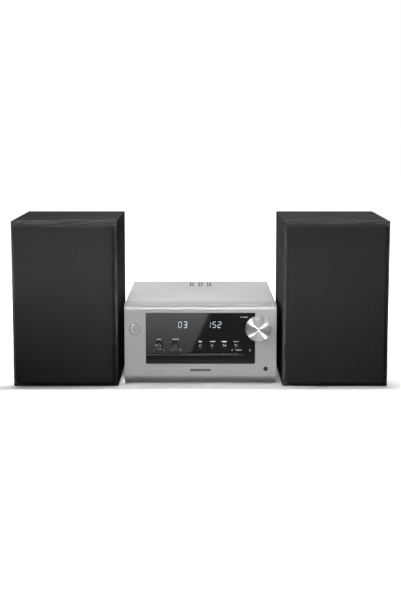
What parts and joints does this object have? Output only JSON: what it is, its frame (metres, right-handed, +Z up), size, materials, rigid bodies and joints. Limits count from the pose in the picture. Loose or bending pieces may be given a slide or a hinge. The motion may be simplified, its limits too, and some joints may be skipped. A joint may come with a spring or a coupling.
{
  "type": "mini hifi system",
  "caption": "Compact silver disc player and amplifier with a wide black display window and a large metal volume knob, set between black ash bookshelf speakers with cloth grilles.",
  "frame": {"origin": "on the floor, under the middle of the bounding box of the whole set", "axes": "+X to the right of a listener facing the set, +Y to the back, away from the listener, +Z up; the front of the set faces -Y"},
  "size_m": [0.5144, 0.2706, 0.228],
  "materials": {
    "silver_panel": "fine satin silver paint",
    "silver_cover": "satin silver paint on steel sheet",
    "black_window": "polished black acrylic",
    "knob_metal": "spun and turned",
    "knob_black": "black, moulded",
    "button_black": "black, moulded",
    "foot_rubber": "matt",
    "zinc_steel": "zinc-plated sheet",
    "black_steel": "black powder coat",
    "moulded_grey": "glass-filled moulding",
    "moulded_black": "moulded",
    "moulded_white": "acetal gear",
    "circuit_board": "solder mask",
    "heat_sink_metal": "extruded",
    "core_iron": "varnished laminations",
    "rod_steel": "ground",
    "ash_wrap": "black ash grain wrap",
    "black_board": "painted black board",
    "grille_fabric": "knitted black cloth",
    "basket_steel": "black paint on pressed steel",
    "cone_paper": "black pulp cone",
    "soft_rubber": "matt",
    "lever_red": "moulded",
    "lever_black": "moulded"
  },
  "bodies": {
    "amplifier": {"front_panel": "silver_panel", "display_window": "black_window", "top_cover": "silver_cover", "rear_panel": "black_steel", "bottom_chassis": "zinc_steel", "feet": "foot_rubber", "loader_frame": "moulded_grey", "drive_motors": "zinc_steel", "guide_rods": "rod_steel", "main_board": "circuit_board", "heat_sink": "heat_sink_metal", "power_transformer": "core_iron", "front_board": "circuit_board", "rotary_controls": "zinc_steel", "headphone_jack": "moulded_black", "rear_sockets": "moulded_black", "ac_inlet": "moulded_black"},
    "drawer": {"cd_tray": "moulded_black", "tray_front": "black_window"},
    "volume_knob": {"volume_knob": "knob_metal"},
    "bass_knob": {"bass_knob": "knob_black"},
    "treble_knob": {"treble_knob": "knob_black"},
    "power_button": {"power_button": "silver_panel"},
    "stop_button": {"stop_button": "button_black"},
    "back_button": {"back_button": "button_black"},
    "forward_button": {"forward_button": "button_black"},
    "source_button": {"source_button": "button_black"},
    "eject_button": {"eject_button": "black_window"},
    "tray_gear": {"tray_gear": "moulded_white"},
    "drive_pinion": {"drive_pinion": "moulded_white"},
    "turntable": {"turntable": "moulded_black"},
    "clamp_puck": {"clamp_puck": "moulded_black"},
    "pickup_sled": {"pickup_sled": "moulded_black"},
    "feed_gear": {"feed_gear": "moulded_white"},
    "speaker_left": {"cabinet_left": "ash_wrap", "baffle_left": "black_board", "back_panel_left": "black_board", "woofer_frame_left": "basket_steel", "woofer_suspension_left": "soft_rubber", "tweeter_left": "moulded_black", "port_tube_left": "moulded_black", "terminal_cup_left": "moulded_black"},
    "grille_left": {"grille_frame_left": "moulded_black", "grille_cloth_left": "grille_fabric"},
    "woofer_cone_left": {"woofer_cone_left": "cone_paper"},
    "red_lever_left": {"red_lever_left": "lever_red"},
    "black_lever_left": {"black_lever_left": "lever_black"},
    "speaker_right": {"cabinet_right": "ash_wrap", "baffle_right": "black_board", "back_panel_right": "black_board", "woofer_frame_right": "basket_steel", "woofer_suspension_right": "soft_rubber", "tweeter_right": "moulded_black", "port_tube_right": "moulded_black", "terminal_cup_right": "moulded_black"},
    "grille_right": {"grille_frame_right": "moulded_black", "grille_cloth_right": "grille_fabric"},
    "woofer_cone_right": {"woofer_cone_right": "cone_paper"},
    "red_lever_right": {"red_lever_right": "lever_red"},
    "black_lever_right": {"black_lever_right": "lever_black"}
  },
  "joints": [
    {"name": "volume_turn", "type": "hinge", "parent": "amplifier", "child": "volume_knob", "pos_m": [0.0793, -0.1177, 0.0793], "axis": [0, 1, 0], "continuous": true},
    {"name": "bass_turn", "type": "hinge", "parent": "amplifier", "child": "bass_knob", "pos_m": [-0.0574, -0.1177, 0.055], "axis": [0, 1, 0], "range_deg": [-150, 150]},
    {"name": "treble_turn", "type": "hinge", "parent": "amplifier", "child": "treble_knob", "pos_m": [-0.035, -0.1177, 0.055], "axis": [0, 1, 0], "range_deg": [-150, 150]},
    {"name": "power_press", "type": "slide", "parent": "amplifier", "child": "power_button", "axis": [0, 1, 0], "range_m": [0, 0.0012], "stiffness_N_per_m": 600, "springref_m": -0.0012},
    {"name": "stop_press", "type": "slide", "parent": "amplifier", "child": "stop_button", "axis": [0, 1, 0], "range_m": [0, 0.0009], "stiffness_N_per_m": 500, "springref_m": -0.0012},
    {"name": "back_press", "type": "slide", "parent": "amplifier", "child": "back_button", "axis": [0, 1, 0], "range_m": [0, 0.0009], "stiffness_N_per_m": 500, "springref_m": -0.0012},
    {"name": "forward_press", "type": "slide", "parent": "amplifier", "child": "forward_button", "axis": [0, 1, 0], "range_m": [0, 0.0009], "stiffness_N_per_m": 500, "springref_m": -0.0012},
    {"name": "source_press", "type": "slide", "parent": "amplifier", "child": "source_button", "axis": [0, 1, 0], "range_m": [0, 0.0009], "stiffness_N_per_m": 500, "springref_m": -0.0012},
    {"name": "eject_press", "type": "slide", "parent": "amplifier", "child": "eject_button", "axis": [0, 1, 0], "range_m": [0, 0.001], "stiffness_N_per_m": 500, "springref_m": -0.0012},
    {"name": "drawer_slide", "type": "slide", "parent": "amplifier", "child": "drawer", "axis": [0, -1, 0], "range_m": [0, 0.133]},
    {"name": "tray_gear_turn", "type": "hinge", "parent": "amplifier", "child": "tray_gear", "pos_m": [0.031, -0.0977, 0.0316], "axis": [0, 0, 1], "range_deg": [-640, 2]},
    {"name": "pinion_turn", "type": "hinge", "parent": "amplifier", "child": "drive_pinion", "pos_m": [0.013, -0.0977, 0.0316], "axis": [0, 0, 1], "range_deg": [-4, 1276]},
    {"name": "turntable_spin", "type": "hinge", "parent": "amplifier", "child": "turntable", "pos_m": [-0.0075, -0.0457, 0.036], "axis": [0, 0, 1], "continuous": true},
    {"name": "puck_spin", "type": "hinge", "parent": "amplifier", "child": "clamp_puck", "pos_m": [-0.0075, -0.0457, 0.044], "axis": [0, 0, 1], "continuous": true},
    {"name": "sled_slide", "type": "slide", "parent": "amplifier", "child": "pickup_sled", "axis": [0, 1, 0], "range_m": [0, 0.034]},
    {"name": "feed_gear_turn", "type": "hinge", "parent": "amplifier", "child": "feed_gear", "pos_m": [0.021, 0.0043, 0.027], "axis": [0, 0, 1], "range_deg": [-245, 2]},
    {"name": "speaker_place_left", "type": "slide", "parent": "amplifier", "child": "speaker_left", "axis": [-1, 0, 0], "range_m": [0, 0.3]},
    {"name": "grille_pull_left", "type": "slide", "parent": "speaker_left", "child": "grille_left", "axis": [0, -1, 0], "range_m": [0, 0.04]},
    {"name": "cone_travel_left", "type": "slide", "parent": "speaker_left", "child": "woofer_cone_left", "axis": [0, -1, 0], "range_m": [-0.003, 0.003], "stiffness_N_per_m": 1500},
    {"name": "red_lever_press_left", "type": "hinge", "parent": "speaker_left", "child": "red_lever_left", "pos_m": [-0.1732, 0.0463, 0.071], "axis": [-1, 0, 0], "range_deg": [0, 25], "stiffness_Nm_per_rad": 0.04, "springref_deg": -20.05},
    {"name": "black_lever_press_left", "type": "hinge", "parent": "speaker_left", "child": "black_lever_left", "pos_m": [-0.1972, 0.0463, 0.071], "axis": [-1, 0, 0], "range_deg": [0, 25], "stiffness_Nm_per_rad": 0.04, "springref_deg": -20.05},
    {"name": "speaker_place_right", "type": "slide", "parent": "amplifier", "child": "speaker_right", "axis": [1, 0, 0], "range_m": [0, 0.3]},
    {"name": "grille_pull_right", "type": "slide", "parent": "speaker_right", "child": "grille_right", "axis": [0, -1, 0], "range_m": [0, 0.04]},
    {"name": "cone_travel_right", "type": "slide", "parent": "speaker_right", "child": "woofer_cone_right", "axis": [0, -1, 0], "range_m": [-0.003, 0.003], "stiffness_N_per_m": 1500},
    {"name": "red_lever_press_right", "type": "hinge", "parent": "speaker_right", "child": "red_lever_right", "pos_m": [0.1972, 0.0463, 0.071], "axis": [-1, 0, 0], "range_deg": [0, 25], "stiffness_Nm_per_rad": 0.04, "springref_deg": -20.05},
    {"name": "black_lever_press_right", "type": "hinge", "parent": "speaker_right", "child": "black_lever_right", "pos_m": [0.1732, 0.0463, 0.071], "axis": [-1, 0, 0], "range_deg": [0, 25], "stiffness_Nm_per_rad": 0.04, "springref_deg": -20.05}
  ],
  "couplings": [
    {"joint": "tray_gear_turn", "follows": "drawer_slide", "rad_per_m": -83.333},
    {"joint": "pinion_turn", "follows": "drawer_slide", "rad_per_m": 166.67},
    {"joint": "feed_gear_turn", "follows": "sled_slide", "rad_per_m": -125}
  ]
}
